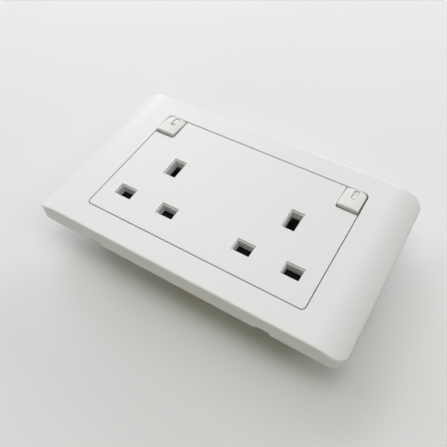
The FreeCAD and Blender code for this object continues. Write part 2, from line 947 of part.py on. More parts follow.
def build_rear_housing():
    body = make_body("rear_housing")
    half_length = half(housing_length)
    half_width = half(housing_width)
    rear = -housing_depth
    rim = s.chassis_stand
    shell = rounded(-half_length, half_length, -half_width, half_width, s.housing_corner)
    pad(body, "XY", [shell], rear, rim)

    def rear_edge(edge):
        return near(edge.BoundBox.ZMax, rear)

    dress("Chamfer", body, s.housing_chamfer, rear_edge)
    inner_x = half_length - s.housing_wall
    inner_y = half_width - s.housing_wall
    corner = s.housing_corner - s.housing_wall
    pocket(body, "XY", [rounded(-inner_x, inner_x, -inner_y, inner_y, corner)], floor_top, rim + 1)
    root_z = floor_top - half(s.housing_floor)

    shelf = s.shelf_height
    partitions = [
        rectangle(-inner_x - 1, inner_x + 1, row, row + s.partition_wall)
        for row in (lower_partition, upper_partition)
    ]
    pad(body, "XY", partitions, root_z, shelf)
    for side in SIDES.values():
        x = outlet_x(side)
        shelves = [
            rectangle(
                *span(x + hand * s.shelf_offset, half(s.shelf_wall)),
                lower_partition - s.shelf_length,
                lower_partition + half(s.partition_wall),
            )
            for hand in (-1, 1)
        ]
        pad(body, "XY", shelves, root_z, shelf)
        rib_end = spring_post_start - s.post_rib_length + s.spring_post
        post = [
            (rib_end, root_z),
            (spring_seat, root_z),
            (spring_seat, shutter_top + s.shutter_clearance),
            (spring_post_start, shutter_top + s.shutter_clearance),
            (spring_post_start, s.post_rib_top),
            (rib_end, s.post_rib_top),
        ]
        pad(body, "YZ", [post], *span(x + s.spring_offset, half(s.spring_post_width)))
        pedestals = [
            rectangle(
                *span(pin, half(s.pin_pedestal)), *span(line_row, s.leaf_root + s.leaf_thickness)
            )
            for pin in (line_x(side), neutral_x(side))
        ]
        pad(body, "XY", pedestals, root_z, line_strip)
        earth_pedestal = rectangle(
            *span(x, half(s.earth_pedestal)), *span(earth_row, half(s.earth_bar_width))
        )
        pad(body, "XY", [earth_pedestal], root_z, ceiling_top)

    # liners of the four terminal wells
    liner = half(s.well_width) + s.well_wall
    depth = s.terminal_setback + s.well_inner + s.well_wall
    line_liner = rectangle(-liner, liner, half_width - depth, inner_y + 1)
    neutral_liner = rectangle(-liner, liner, -inner_y - 1, -half_width + depth)
    pad(body, "XY", [line_liner, neutral_liner], root_z, ceiling_top)
    earth_liners = [
        rectangle(inner_x * -1 - 1, -half_length + depth, *span(earth_row, liner)),
        rectangle(half_length - depth, inner_x + 1, *span(earth_row, liner)),
    ]
    pad(body, "XY", earth_liners, root_z, ceiling_top)
    pad(body, "XY", [circle(x, y, s.housing_boss) for x, y in SCREWS], root_z, rim)

    # bearing posts of the rockers and the pedestals under their fulcrums
    for side in SIDES.values():
        x = side * rocker_offset
        posts = [
            rectangle(
                *span(x + hand * (s.bearing_inner + half(s.bearing_wall)), half(s.bearing_wall)),
                *span(rocker_row, s.bearing_half),
            )
            for hand in (-1, 1)
        ]
        pad(body, "XY", posts, root_z, pivot_height + s.bearing_top)
        under = rectangle(
            *span(x, half(s.fulcrum_pedestal_width)),
            *span(rocker_row, half(s.fulcrum_pedestal_length)),
        )
        pad(body, "XY", [under], root_z, line_strip)
        bearing = circle(rocker_row, pivot_height, s.trunnion_radius + s.bearing_clearance)
        outer = s.bearing_inner + s.bearing_wall + s.bearing_clearance
        pocket(body, "YZ", [bearing], *span(x, outer))

    # wells, holes for the stakes, screw holes
    well = half(s.well_width)
    opening = s.terminal_setback + s.well_inner
    wells = [
        rectangle(-well, well, half_width - opening, half_width + 1),
        rectangle(-well, well, -half_width - 1, -half_width + opening),
        rectangle(half_length - opening, half_length + 1, *span(earth_row, well)),
        rectangle(-half_length - 1, -half_length + opening, *span(earth_row, well)),
    ]
    pocket(body, "XY", wells, rear - 1, well_top)
    stakes = [stake(x, y) for x, y, angle in terminal_places().values()]
    pocket(body, "XY", stakes, well_top - 1, ceiling_top + 1)
    ways = [circle(x, y, s.screw_radius + s.screw_clearance) for x, y in SCREWS]
    pocket(body, "XY", ways, rear - 1, rim + 1)
    recesses = [circle(x, y, s.screw_recess_radius) for x, y in SCREWS]
    pocket(body, "XY", recesses, rear - 1, rear + s.screw_head_recess)

    # slots that carry the line strips across the partitions and the shelves
    clearance = s.strip_clearance
    for side in SIDES.values():
        edges = in_order(
            side * (load_inner - clearance), side * (load_outer + clearance)
        )
        slot = rectangle(*edges, line_strip, shelf + 1)
        for row in (lower_partition, upper_partition):
            pocket(body, "XZ", [slot], row - clearance, row + s.partition_wall + clearance)
    crossing = rectangle(
        -load_inner, line_x(-1) + s.load_width, line_strip, shelf + 1
    )
    pocket(body, "XZ", [crossing], load_row - s.load_turn - clearance, load_row + clearance)


def terminal_places():
    """Each terminal's stake, and the turn that points its wire entry out of the housing."""
    rim_y = half(housing_width) - s.terminal_setback
    rim_x = half(housing_length) - s.terminal_setback
    return {
        "line": (formula(0), rim_y, 0),
        "neutral": (formula(0), -rim_y, 180),
        "earth_left": (-rim_x, earth_row, 90),
        "earth_right": (rim_x, earth_row, -90),
    }


def stake(x, y):
    """The square tail that holds a terminal to the housing and to its strip."""
    return rectangle(*span(x, s.stake_half), *span(y, s.stake_half))


def build_terminals():
    bottom = well_top - s.terminal_height
    for name, (x, y, angle) in terminal_places().items():
        body = make_body(name.split("_")[0] + "_terminal" + name[len(name.split("_")[0]):])
        block = rectangle(
            *span(formula(0), half(s.terminal_width)), *span(formula(0), half(s.terminal_length))
        )
        pad(body, "XY", [block], bottom, well_top)
        strip_top = ceiling_top + s.strip_thickness
        pad(body, "XY", [stake(formula(0), formula(0))], well_top, strip_top)
        wire = circle(0, bottom + s.wire_depth, s.wire_radius)
        pocket(body, "XZ", [wire], *span(formula(0), half(s.terminal_length) + 1))
        pocket(body, "XY", [circle(0, 0, s.clamp_radius)], bottom - 1, bottom + s.wire_depth)
        place(body, x, y, 0, (0, 0, 1), angle)


def cylinder(name, radius, low, high, x, y):
    made = document.addObject("Part::Cylinder", name)
    bind(made, "Radius", radius)
    bind(made, "Height", high - low)
    place(made, x, y, low)
    return made


def slotted_screw(name, x, y, seat, shank, length, head, head_height):
    """A cylinder-headed screw: its head hangs below the seat, its shank rises above."""
    stem = cylinder(name + "_shank", shank, seat, seat + length, x, y)
    cap = cylinder(name + "_head", head, seat - head_height, seat, x, y)
    solid = document.addObject("Part::Fuse", name + "_blank")
    solid.Base = stem
    solid.Tool = cap
    groove = document.addObject("Part::Box", name + "_groove")
    bind(groove, "Length", 2 * head + 1)
    bind(groove, "Width", s.driver_slot)
    bind(groove, "Height", s.driver_depth + 1)
    place(groove, x - head - 0.5, y - half(s.driver_slot), seat - head_height - 1)
    screw = document.addObject("Part::Cut", name)
    screw.Base = solid
    screw.Tool = groove
    return screw


def build_screws():
    bottom = well_top - s.terminal_height
    clamps = [
        slotted_screw(
            "clamp", x, y, bottom, s.clamp_radius, s.clamp_length, s.clamp_head, s.clamp_head_height
        )
        for x, y, angle in terminal_places().values()
    ]
    seat = s.screw_head_recess - housing_depth
    reach = s.chassis_stand + s.screw_bite - seat
    bolts = [
        slotted_screw("bolt", x, y, seat, s.screw_radius, reach, s.screw_head, s.screw_head_height)
        for x, y in SCREWS
    ]
    for name, screws in (("terminal_screws", clamps), ("housing_screws", bolts)):
        group = document.addObject("Part::Compound", name)
        group.Links = screws
        node(group, name)


def leaf(centre, hand, low, high):
    """One spring leaf of a pin clip, in section: straight root, pinch, flared mouth."""
    knee = low + (high - low) * s.leaf_knee
    pinch = high - s.leaf_lead
    thick = s.leaf_thickness
    points = [
        (s.leaf_root, low), (s.leaf_root + thick, low), (s.leaf_root + thick, knee),
        (s.leaf_pinch + thick, pinch), (s.leaf_mouth + thick, high), (s.leaf_mouth, high),
        (s.leaf_pinch, pinch), (s.leaf_root, knee),
    ]
    return [(centre + hand * across, height) for across, height in points]


def line_clip(body, x):
    """A clip that grips the wide faces of a line or neutral pin."""
    low = line_strip + half(s.strip_thickness)
    leaves = [leaf(line_row, hand, low, s.line_leaf_top) for hand in (-1, 1)]
    pad(body, "YZ", leaves, *span(x, half(s.line_leaf_width)))


def stake_hole(body, name):
    x, y, angle = terminal_places()[name]
    pocket(body, "XY", [stake(x, y)], ceiling_top - 1, ceiling_top + s.strip_thickness + 1)


def build_earth_contact():
    body = make_body("earth_contact")
    reach = half(housing_length) - s.terminal_setback + s.foot_reach
    bar = rectangle(-reach, reach, *span(earth_row, half(s.earth_bar_width)))
    top = ceiling_top + s.strip_thickness
    pad(body, "XY", [bar], ceiling_top, top)
    for side in SIDES.values():
        low = ceiling_top + half(s.strip_thickness)
        leaves = [leaf(outlet_x(side), hand, low, s.earth_leaf_top) for hand in (-1, 1)]
        pad(body, "XZ", leaves, *span(earth_row, half(s.earth_leaf_width)))
    stake_hole(body, "earth_left")
    stake_hole(body, "earth_right")


def build_neutral_contact():
    body = make_body("neutral_contact")
    row = s.neutral_bar_inset - half(housing_width)
    back = row + s.strip_thickness
    clip_half = half(s.line_leaf_width)
    left = neutral_x(-1) - s.neutral_bar_overhang
    right = neutral_x(1) + s.neutral_bar_overhang
    pad(body, "XY", [rectangle(left, right, row, back)], line_strip, line_strip + s.neutral_bar_height)
    base_end = line_row + s.leaf_root + s.leaf_thickness
    for side in SIDES.values():
        x = neutral_x(side)
        base = rectangle(*span(x, clip_half), row, base_end)
        pad(body, "XY", [base], line_strip, line_strip_top)
        line_clip(body, x)
    foot_top = ceiling_top + s.strip_thickness
    pad(body, "XY", [rectangle(-s.foot_half, s.foot_half, row, back)], ceiling_top, line_strip_top)
    stake_row = s.terminal_setback - half(housing_width)
    foot = rectangle(-s.foot_half, s.foot_half, *span(stake_row, s.foot_reach))
    pad(body, "XY", [foot], ceiling_top, foot_top)
    stake_hole(body, "neutral")


def build_line_feed():
    body = make_body("line_feed")
    reach = rocker_offset + half(s.lever_width)
    front = finger_front
    back = front + s.feed_width
    foot_top = ceiling_top + s.strip_thickness
    pad(body, "XY", [rectangle(-reach, reach, front, back)], ceiling_top, foot_top)
    stake_row = half(housing_width) - s.terminal_setback
    tab = rectangle(-s.foot_half, s.foot_half, back - 1, stake_row + s.foot_reach)
    pad(body, "XY", [tab], ceiling_top, foot_top)
    finger_top = finger_bottom + s.strip_thickness
    for side in SIDES.values():
        edges = in_order(side * reach, side * (reach - s.riser_width))
        riser = rectangle(*edges, front, front + s.strip_thickness)
        pad(body, "XY", [riser], ceiling_top, finger_top)
        finger = rectangle(
            *span(side * rocker_offset, half(s.lever_width)),
            front,
            rocker_row - s.tip_reach + s.tip_radius + s.finger_lap,
        )
        pad(body, "XY", [finger], finger_bottom, finger_top)
    stake_hole(body, "line")


def build_fixed_tips():
    discs = [
        cylinder(
            "tip", s.tip_radius, finger_bottom - s.fixed_tip_height, finger_bottom,
            side * rocker_offset, rocker_row - s.tip_reach,
        )
        for side in SIDES.values()
    ]
    group = document.addObject("Part::Compound", "fixed_tips")
    group.Links = discs
    node(group, "fixed_tips")


def build_line_contact(name, side):
    """The strip from a rocking contact's fulcrum to the line clip of its outlet."""
    body = make_body("line_contact_" + name)
    x = side * rocker_offset
    wide = half(s.lever_width) - s.fulcrum_inset
    seat = rectangle(*span(x, wide), *span(rocker_row, s.fulcrum_seat))
    pad(body, "XY", [seat], line_strip, line_strip_top)
    clip_edge = line_row + s.leaf_root
    # beside the riser the strip keeps to the inner half of the switch
    neck = in_order(side * (rocker_offset - wide), side * load_outer)
    pad(body, "XY", [rectangle(*neck, finger_front - 2, rocker_row)], line_strip, line_strip_top)
    turn_row = load_row - s.load_turn
    run = in_order(side * load_inner, side * load_outer)
    pad(body, "XY", [rectangle(*run, turn_row, finger_front - 1)], line_strip, line_strip_top)
    clip_x = line_x(side)
    clip = span(clip_x, half(s.line_leaf_width))
    turn = in_order(side * load_outer, clip_x - side * half(s.line_leaf_width))
    pad(body, "XY", [rectangle(*turn, turn_row, load_row)], line_strip, line_strip_top)
    tab = rectangle(*clip, clip_edge, turn_row)
    pad(body, "XY", [tab], line_strip, line_strip_top)
    base = rectangle(*clip, *span(line_row, s.leaf_root + s.leaf_thickness))
    pad(body, "XY", [base], line_strip, line_strip_top)
    line_clip(body, clip_x)
    foot = s.fulcrum_foot
    radius = s.fulcrum_radius
    fulcrum = [
        (rocker_row - foot, line_strip_top),
        (rocker_row + foot, line_strip_top),
        (rocker_row + 0.8 * radius, lever_axis + 0.6 * radius, radius),
        (rocker_row - 0.8 * radius, lever_axis + 0.6 * radius),
    ]
    pad(body, "YZ", [fulcrum], *span(x, wide))


def build_shutter(name, side):
    body = make_body("shutter_" + name)
    x = outlet_x(side)
    low = line_row - s.shutter_lower
    high = line_row + s.shutter_upper
    window_row = line_row + s.shutter_travel
    windows = [
        rectangle(
            *span(pin, half(s.shutter_window_width)), *span(window_row, half(s.shutter_window_height))
        )
        for pin in (line_x(side), neutral_x(side))
    ]
    slot = rectangle(
        *span(x + s.spring_offset, half(s.spring_slot)), spring_slot_start, spring_slot_end
    )
    wide = half(s.line_spacing) + half(s.shutter_window_width) + s.shutter_rim
    plate = rectangle(*span(x, wide), low, high)
    pad(body, "XY", [plate, slot, *windows], shutter_bottom, shutter_top)
    travel = s.shutter_travel
    thick = s.ramp_thickness
    tail = ramp_start + travel
    ramp = [
        (high - 1, shutter_bottom),
        (ramp_start + s.shutter_thickness - thick, shutter_bottom),
        (tail, shutter_top - travel - thick),
        (tail, shutter_top - travel),
        (ramp_start, shutter_top),
        (high - 1, shutter_top),
    ]
    pad(body, "YZ", [ramp], *span(x, s.ramp_half))
    spring = build_spring(
        "shutter_spring_" + name,
        s.spring_coil,
        s.spring_wire,
        spring_slot_end - spring_seat,
        s.spring_turns,
    )
    place(spring, x + s.spring_offset, spring_seat, spring_height, (-1, 0, 0), 90)


build_cover_frame()
build_mounting_frame()
build_socket_front()
build_rear_housing()
build_terminals()
build_screws()
build_earth_contact()
build_neutral_contact()
build_line_feed()
build_fixed_tips()
for side_name, side_sign in SIDES.items():
    build_line_contact(side_name, side_sign)
    build_switch(side_name, side_sign)
    build_shutter(side_name, side_sign)

document.recompute()
for thing in document.Objects:
    if "Invalid" in thing.State or "Error" in thing.State:
        raise RuntimeError("%s is in state %s" % (thing.Name, thing.State))
os.makedirs("parts", exist_ok=True)
for thing in NODES:
    shape = thing.Shape
    if shape.isNull() or not shape.isValid():
        raise RuntimeError(thing.Label + " has no valid shape")
    shape.exportStep("parts/%s.step" % thing.Label)
    print("%-24s %2d solid(s) %10.2f mm3" % (thing.Label, len(shape.Solids), shape.Volume))
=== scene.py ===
import bpy
import json
import math
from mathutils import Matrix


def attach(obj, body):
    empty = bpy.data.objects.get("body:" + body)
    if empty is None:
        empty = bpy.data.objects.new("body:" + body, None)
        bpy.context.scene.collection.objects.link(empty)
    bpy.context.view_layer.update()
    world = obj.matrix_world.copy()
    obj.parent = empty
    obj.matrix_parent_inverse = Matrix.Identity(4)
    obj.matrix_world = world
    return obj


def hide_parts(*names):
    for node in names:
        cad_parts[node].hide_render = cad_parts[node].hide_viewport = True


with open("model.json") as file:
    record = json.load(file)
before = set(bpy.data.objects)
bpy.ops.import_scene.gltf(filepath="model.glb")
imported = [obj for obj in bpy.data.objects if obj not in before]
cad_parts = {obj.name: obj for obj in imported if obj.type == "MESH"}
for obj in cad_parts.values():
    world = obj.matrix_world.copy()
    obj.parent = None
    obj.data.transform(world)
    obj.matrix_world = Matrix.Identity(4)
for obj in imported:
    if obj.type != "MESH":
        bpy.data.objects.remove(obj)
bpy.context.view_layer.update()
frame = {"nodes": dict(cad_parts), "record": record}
print("frame loaded:", len(frame["nodes"]), "nodes")

# what the camera sees: a view from the lower right, as of an outlet lying on a table
camera = {
    "place": (0.078349, -0.118888, 0.183395),
    "turn": (36.4998, 2.1599, 31.4097),  # degrees
    "lens": 41.70, "sensor": 36.0, "nearest": 0.01,
}

# the table that the outlet lies on
table = {
    "height": -0.0225, "radius": 1.25, "sides": 128,
    "colour": (0.80, 0.80, 0.822), "speckle": 0.02,
    "cloud": 0.2, "cloudDetail": 3.0, "cloudShare": 0.7,
    "speck": 0.0015, "speckDetail": 2.0, "speckShare": 0.3,
    "rough": 0.8, "uneven": 0.1, "shine": 0.1,
}

# soft lamps about the outlet, each by its bearing from +X, its height and its power
lampRing = {"reach": 1.3, "wide": 0.7}
lamps = {
    "backWindow": {"bearing": 90, "rise": 20, "power": 5.9, "colour": (0.97, 1.0, 0.98)},
    "cornerWindow": {"bearing": 135, "rise": 20, "power": 4.0, "colour": (0.99, 1.0, 1.0)},
    "leftWindow": {"bearing": 180, "rise": 20, "power": 2.6, "colour": (0.88, 0.93, 1.0)},
    "cornerSky": {"bearing": 135, "rise": 50, "power": 4.0, "colour": (0.97, 0.96, 1.0)},
    "leftSky": {"bearing": 180, "rise": 50, "power": 1.5, "colour": (0.98, 1.0, 0.93)},
    "rightWall": {"bearing": 0, "rise": 50, "power": 2.8, "colour": (1.0, 1.0, 0.9)},
    "rightFar": {"bearing": 45, "rise": 20, "power": 0.95, "colour": (1.0, 1.0, 0.75)},
    "nearWall": {"bearing": 270, "rise": 20, "power": 1.9, "colour": (1.0, 1.0, 0.5)},
    "ceilingFar": {"bearing": 0, "rise": 80, "power": 3.6, "colour": (0.92, 0.92, 1.0)},
    "ceilingNear": {"bearing": 240, "rise": 80, "power": 2.25, "colour": (0.98, 1.0, 0.8)},
}
backdrop = {"colour": (0.80, 0.81, 0.82), "strength": 1.0}


class Field:
    # an output of a shader node, with arithmetic on it
    def __init__(self, tree, made=None, output=0):
        self.tree = tree
        self.made = made
        self.output = output

    def __getitem__(self, output):
        return Field(self.tree, self.made, output)

    def node(self, kind, values=None, **settings):
        # any node: its settings first, then the values or links of its sockets
        made = self.tree.nodes.new(kind)
        for name, setting in settings.items():
            setattr(made, name, setting)
        for name, value in (values or {}).items():
            socket = made.inputs[name]
            if isinstance(value, Field):
                self.tree.links.new(value.made.outputs[value.output], socket)
            elif isinstance(value, tuple) and socket.type == "RGBA":
                socket.default_value = (*value, 1.0)
            else:
                socket.default_value = value
        return Field(self.tree, made)

    def calc(self, operation, first, second):
        return self.node("ShaderNodeMath", {0: first, 1: second}, operation=operation)

    def __add__(self, other):
        return self.calc("ADD", self, other)

    def __radd__(self, other):
        return self.calc("ADD", other, self)

    def __sub__(self, other):
        return self.calc("SUBTRACT", self, other)

    def __rsub__(self, other):
        return self.calc("SUBTRACT", other, self)

    def __mul__(self, other):
        return self.calc("MULTIPLY", self, other)

    def __rmul__(self, other):
        return self.calc("MULTIPLY", other, self)

    def power(self, other):
        return self.calc("POWER", self, other)

    def blend(self, low, high):
        # a colour between two, where this value is the share of the second
        values = {0: self, 6: low, 7: high}
        return self.node("ShaderNodeMix", values, data_type="RGBA", clamp_factor=True)[2]

    def noise(self, place, size, detail, rough=0.5):
        # a soft pattern about half grey, with lumps of a size in metres
        values = {"Vector": place, "Scale": 1.0 / size, "Detail": detail, "Roughness": rough}
        return self.node("ShaderNodeTexNoise", values)


def startMaterial(name):
    material = bpy.data.materials.new(name)
    material.use_nodes = True
    material.node_tree.nodes.clear()
    base = Field(material.node_tree)
    place = base.node("ShaderNodeTexCoord")["Object"]
    return material, base, place


def endMaterial(base, values):
    shader = base.node("ShaderNodeBsdfPrincipled", values)
    base.node("ShaderNodeOutputMaterial", {"Surface": shader})


def scaled(colour, share):
    return tuple(min(1.0, part * share) for part in colour)


def clouded(share, look, key="cloud"):
    # the look's colour, a little darker and lighter by a share
    return share.blend(scaled(look["colour"], 1 - look[key]), scaled(look["colour"], 1 + look[key]))


def giveFinish(piece, material):
    piece.data.materials.clear()
    piece.data.materials.append(material)


# what all moulded plastics share; each one's own look follows
moulding = {
    "flowDetail": 3.0, "grainDetail": 4.0, "sheenDetail": 5.0, "broken": 0.6,
    "sheenSize": 0.4, "grainHeight": 0.1, "bend": 1.49, "shine": 0.5,
}
plastics = {
    "white_plastic": {
        "colour": (0.746, 0.748, 0.767), "cloud": 0.012, "flow": 0.035, "grain": 0.00045,
        "rough": 0.42, "uneven": 0.06, "depth": 0.05,
    },
    "frame_plastic": {
        "colour": (0.74, 0.74, 0.735), "cloud": 0.02, "flow": 0.03, "grain": 0.0005,
        "rough": 0.5, "uneven": 0.08, "depth": 0.12,
    },
    "housing_plastic": {
        "colour": (0.72, 0.72, 0.69), "cloud": 0.025, "flow": 0.025, "grain": 0.0006,
        "rough": 0.58, "uneven": 0.1, "depth": 0.22,
    },
    "switch_plastic": {
        "colour": (0.712, 0.708, 0.706), "cloud": 0.014, "flow": 0.006, "grain": 0.0003,
        "rough": 0.5, "uneven": 0.06, "depth": 0.04,
    },
    # the shutters: near black and almost without shine, so that the apertures look black inside
    "shutter_plastic": {
        "colour": (0.006, 0.006, 0.006), "cloud": 0.15, "flow": 0.012, "grain": 0.0004,
        "rough": 0.6, "uneven": 0.1, "depth": 0.15, "shine": 0.06,
    },
    "plunger_plastic": {
        "colour": (0.36, 0.36, 0.34), "cloud": 0.05, "flow": 0.008, "grain": 0.0003,
        "rough": 0.45, "uneven": 0.1, "depth": 0.12,
    },
}


def mouldedPlastic(name, look):
    # moulded plastic: cloudy flow marks, a fine spark-eroded grain and uneven gloss
    material, base, place = startMaterial(name)
    broken = moulding["broken"]
    flow = base.noise(place, look["flow"], moulding["flowDetail"])
    grain = base.noise(place, look["grain"], moulding["grainDetail"], broken)
    sheen = base.noise(place, look["flow"] * moulding["sheenSize"], moulding["sheenDetail"], broken)
    roughness = look["rough"] + (sheen - 0.5) * look["uneven"] + (grain - 0.5) * look["uneven"]
    bump = base.node("ShaderNodeBump", {
        "Height": grain,
        "Strength": look["depth"],
        "Distance": look["grain"] * moulding["grainHeight"],
    })
    endMaterial(base, {
        "Base Color": clouded(flow, look),
        "Roughness": roughness,
        "Normal": bump,
        "IOR": moulding["bend"],
        "Specular IOR Level": look.get("shine", moulding["shine"]),
    })
    return material


# what all metals share; each one's own look follows
rolling = {
    "streakDetail": 3.0, "streakBroken": 0.65, "patchDetail": 4.0, "patchBroken": 0.6, "bite": 3.0,
    "streakRough": 0.25, "tarnishRough": 0.3, "depth": 0.25, "streakHeight": 0.2,
}
metals = {
    "brass": {
        "colour": (0.78, 0.56, 0.26), "dull": (0.42, 0.28, 0.13), "cloud": 0.07, "tarnish": 0.9,
        "streak": 0.0006, "patch": 0.006, "stretch": (0.08, 1.0, 1.0), "rough": 0.3,
    },
    "silver": {
        "colour": (0.86, 0.85, 0.82), "dull": (0.5, 0.48, 0.44), "cloud": 0.05, "tarnish": 0.5,
        "streak": 0.0005, "patch": 0.002, "stretch": (1.0, 1.0, 1.0), "rough": 0.22,
    },
    "steel": {
        "colour": (0.66, 0.67, 0.68), "dull": (0.44, 0.43, 0.38), "cloud": 0.08, "tarnish": 0.7,
        "streak": 0.0004, "patch": 0.003, "stretch": (1.0, 1.0, 0.3), "rough": 0.32,
    },
}


def drawnMetal(name, look):
    # rolled or drawn metal: streaks along the strip, dull patches and small pits
    material, base, place = startMaterial(name)
    along = base.node("ShaderNodeMapping", {"Vector": place, "Scale": look["stretch"]})
    streak = base.noise(along, look["streak"], rolling["streakDetail"], rolling["streakBroken"])
    patch = base.noise(place, look["patch"], rolling["patchDetail"], rolling["patchBroken"])
    tarnish = patch.power(rolling["bite"]) * look["tarnish"]
    colour = tarnish.blend(clouded(patch, look), look["dull"])
    roughness = look["rough"] + (streak - 0.5) * rolling["streakRough"]
    roughness = roughness + tarnish * rolling["tarnishRough"]
    bump = base.node("ShaderNodeBump", {
        "Height": streak,
        "Strength": rolling["depth"],
        "Distance": look["streak"] * rolling["streakHeight"],
    })
    endMaterial(base, {
        "Base Color": colour,
        "Metallic": 1.0,
        "Roughness": roughness,
        "Normal": bump,
    })
    return material


# the windows in the rockers: what both share, and each one's tint and the spots painted in it: the
# left one's lamp, and on the right a painted shade at the lower rim with a painted highlight above it
windowPlastic = {
    "haze": 0.0012, "hazeDetail": 3.0, "barShare": 0.2, "hazeShare": 0.5, "startShare": 0.25,
    "core": 0.4, "depth": 0.08, "height": 0.0001, "rough": 0.08, "uneven": 0.1,
    "coat": 0.6, "coatRough": 0.04, "bend": 1.49,
}
lenses = {
    "left": {
        "dark": (0.60, 0.54, 0.53), "light": (0.80, 0.76, 0.75), "clear": 0.15, "bar": 0.0009,
        "spots": [
            {"place": (-0.0471, 0.0261, 0.0098), "size": 0.0028, "colour": (0.25, 0.21, 0.20)},
        ],
    },
    "right": {
        "dark": (0.66, 0.66, 0.63), "light": (0.84, 0.84, 0.80), "clear": 0.1, "bar": 0.0009,
        "spots": [
            # painted shade: a darker patch at the window's lower rim, where the recess wall shades the
            # lens
            {"place": (0.0472, 0.0256, 0.0099), "size": 0.0016, "colour": (0.42, 0.42, 0.39)},
            # painted highlight: a lighter patch in the lens just above the painted shade
            {"place": (0.0470, 0.0276, 0.0097), "size": 0.0012, "colour": (0.90, 0.90, 0.84)},
        ],
    },
}


def lensPlastic(name, look):
    # a clear tinted lens: faint bars of a prismatic back, and spots painted in its colour: the lamp
    # behind the left one's lower end, and painted shade and a painted highlight on the right one
    material, base, place = startMaterial(name)
    parts = base.node("ShaderNodeSeparateXYZ", {"Vector": place})
    bars = base.node("ShaderNodeMath", {0: parts["Y"] * (math.tau / look["bar"])}, operation="SINE")
    haze = base.noise(place, windowPlastic["haze"], windowPlastic["hazeDetail"])
    share = bars * windowPlastic["barShare"] + haze * windowPlastic["hazeShare"]
    colour = (share + windowPlastic["startShare"]).blend(look["dark"], look["light"])
    # each spot blends a colour in about its place; on the right lens these are painted shade and a
    # painted highlight
    for spot in look["spots"]:
        away = base.node("ShaderNodeVectorMath", {0: place, 1: spot["place"]}, operation="DISTANCE")
        reach = {
            "Value": away["Value"],
            "From Min": spot["size"], "From Max": spot["size"] * windowPlastic["core"],
            "To Min": 0.0, "To Max": 1.0,
        }
        share = base.node("ShaderNodeMapRange", reach, interpolation_type="SMOOTHSTEP")
        colour = share.blend(colour, spot["colour"])
    bump = base.node("ShaderNodeBump", {
        "Height": haze,
        "Strength": windowPlastic["depth"],
        "Distance": windowPlastic["height"],
    })
    endMaterial(base, {
        "Base Color": colour,
        "Roughness": windowPlastic["rough"] + haze * windowPlastic["uneven"],
        "Normal": bump,
        "Transmission Weight": look["clear"],
        "Coat Weight": windowPlastic["coat"],
        "Coat Roughness": windowPlastic["coatRough"],
        "IOR": windowPlastic["bend"],
    })
    return material


glowLamp = {
    "clear": (0.9, 0.86, 0.82), "warm": (0.85, 0.55, 0.38), "haze": 0.0015, "hazeDetail": 3.0,
    "rough": 0.04, "uneven": 0.08, "through": 0.8, "bend": 1.5,
}


def lampGlass(name, look):
    # the glass of a glow lamp, with the warm haze of its electrodes
    material, base, place = startMaterial(name)
    haze = base.noise(place, look["haze"], look["hazeDetail"])
    endMaterial(base, {
        "Base Color": haze.blend(look["clear"], look["warm"]),
        "Roughness": look["rough"] + haze * look["uneven"],
        "Transmission Weight": look["through"],
        "IOR": look["bend"],
    })
    return material


finishes = {name: mouldedPlastic(name, look) for name, look in plastics.items()}
finishes.update({name: drawnMetal(name, look) for name, look in metals.items()})
finishes["lamp_glass"] = lampGlass("lamp_glass", glowLamp)

for part in frame["record"]["subparts"]:
    slotName = part["material_slot"]
    if slotName == "clear_lens":
        side = part["node"].split("_")[-1]
        material = lensPlastic(part["node"], lenses[side])
    else:
        material = finishes[slotName]
    giveFinish(frame["nodes"][part["node"]], material)
print("finishes given")


# the rockers as they are seen: crowned caps that sit close to the frame at the top and the outer side
rocker = {
    "pivot": (0.0472, 0.02575, 0.0068),  # out from the middle, along the side, up
    "lean": 5.8, "stemLean": 8.0,  # degrees
    "left": 0.00513, "right": 0.0045, "upper": 0.00588, "lower": 0.0059,
    "foot": 0.00045, "rise": 0.00317, "crown": 0.0005,
    "edge": 0.00012, "edgeSteps": 2, "brow": 0.0013, "browSteps": 8,
    "wideCorner": 0.0018, "closeCorner": 0.001, "smallCorner": 0.0003, "cornerSteps": 6,
    "skin": 0.001, "hollowX": 0.00395, "hollowWall": 0.0009, "hollowSteps": 3,
    "stem": 0.0018, "stemLength": 0.005, "stemBite": 0.0002,
    "bore": 0.00125, "boreTop": 0.0018, "trunnion": 0.0012, "trunnionReach": 0.00375,
}
window = {
    "x": -0.00005, "y": 0.0026, "width": 0.0025, "length": 0.0059, "corner": 0.00115,
    "cornerSteps": 8, "play": 0.00003, "sunk": 0.0004, "dome": 0.0003, "domeSteps": 4,
}
# how far the shaping blocks reach about the pivot, and how near counts as touching
cutter = {
    "foot": -0.001, "top": 0.005, "over": 0.001, "halfDrum": 0.01, "boreFoot": -0.007,
    "rodSides": 64, "drumSides": 320, "near": 0.0001, "veryNear": 0.00001,
}
sharpAngle = 40  # degrees, from which an edge is rounded
smoothAngle = 30  # degrees, up to which faces shade as one


def onlySelect(piece):
    bpy.ops.object.select_all(action="DESELECT")
    piece.select_set(True)
    bpy.context.view_layer.objects.active = piece


def bevelEdges(piece, offset, steps, wanted, sharpOnly=False):
    # bevels the edges whose two ends both pass the test, out of all edges or the sharp ones
    onlySelect(piece)
    bpy.ops.object.mode_set(mode="EDIT")
    bpy.ops.mesh.select_mode(type="EDGE")
    bpy.ops.mesh.select_all(action="DESELECT")
    if sharpOnly:
        bpy.ops.mesh.edges_select_sharp(sharpness=math.radians(sharpAngle))
    bpy.ops.object.mode_set(mode="OBJECT")
    spots = [vertex.co for vertex in piece.data.vertices]
    chosen = [
        edge.index for edge in piece.data.edges
        if (edge.select or not sharpOnly) and all(wanted(spots[end]) for end in edge.vertices)
    ]
    bpy.ops.object.mode_set(mode="EDIT")
    bpy.ops.mesh.select_all(action="DESELECT")
    bpy.ops.object.mode_set(mode="OBJECT")
    for index in chosen:
        piece.data.edges[index].select = True
    bpy.ops.object.mode_set(mode="EDIT")
    bpy.ops.mesh.bevel(offset=offset, segments=steps, affect="EDGES", clamp_overlap=False)
    bpy.ops.object.mode_set(mode="OBJECT")


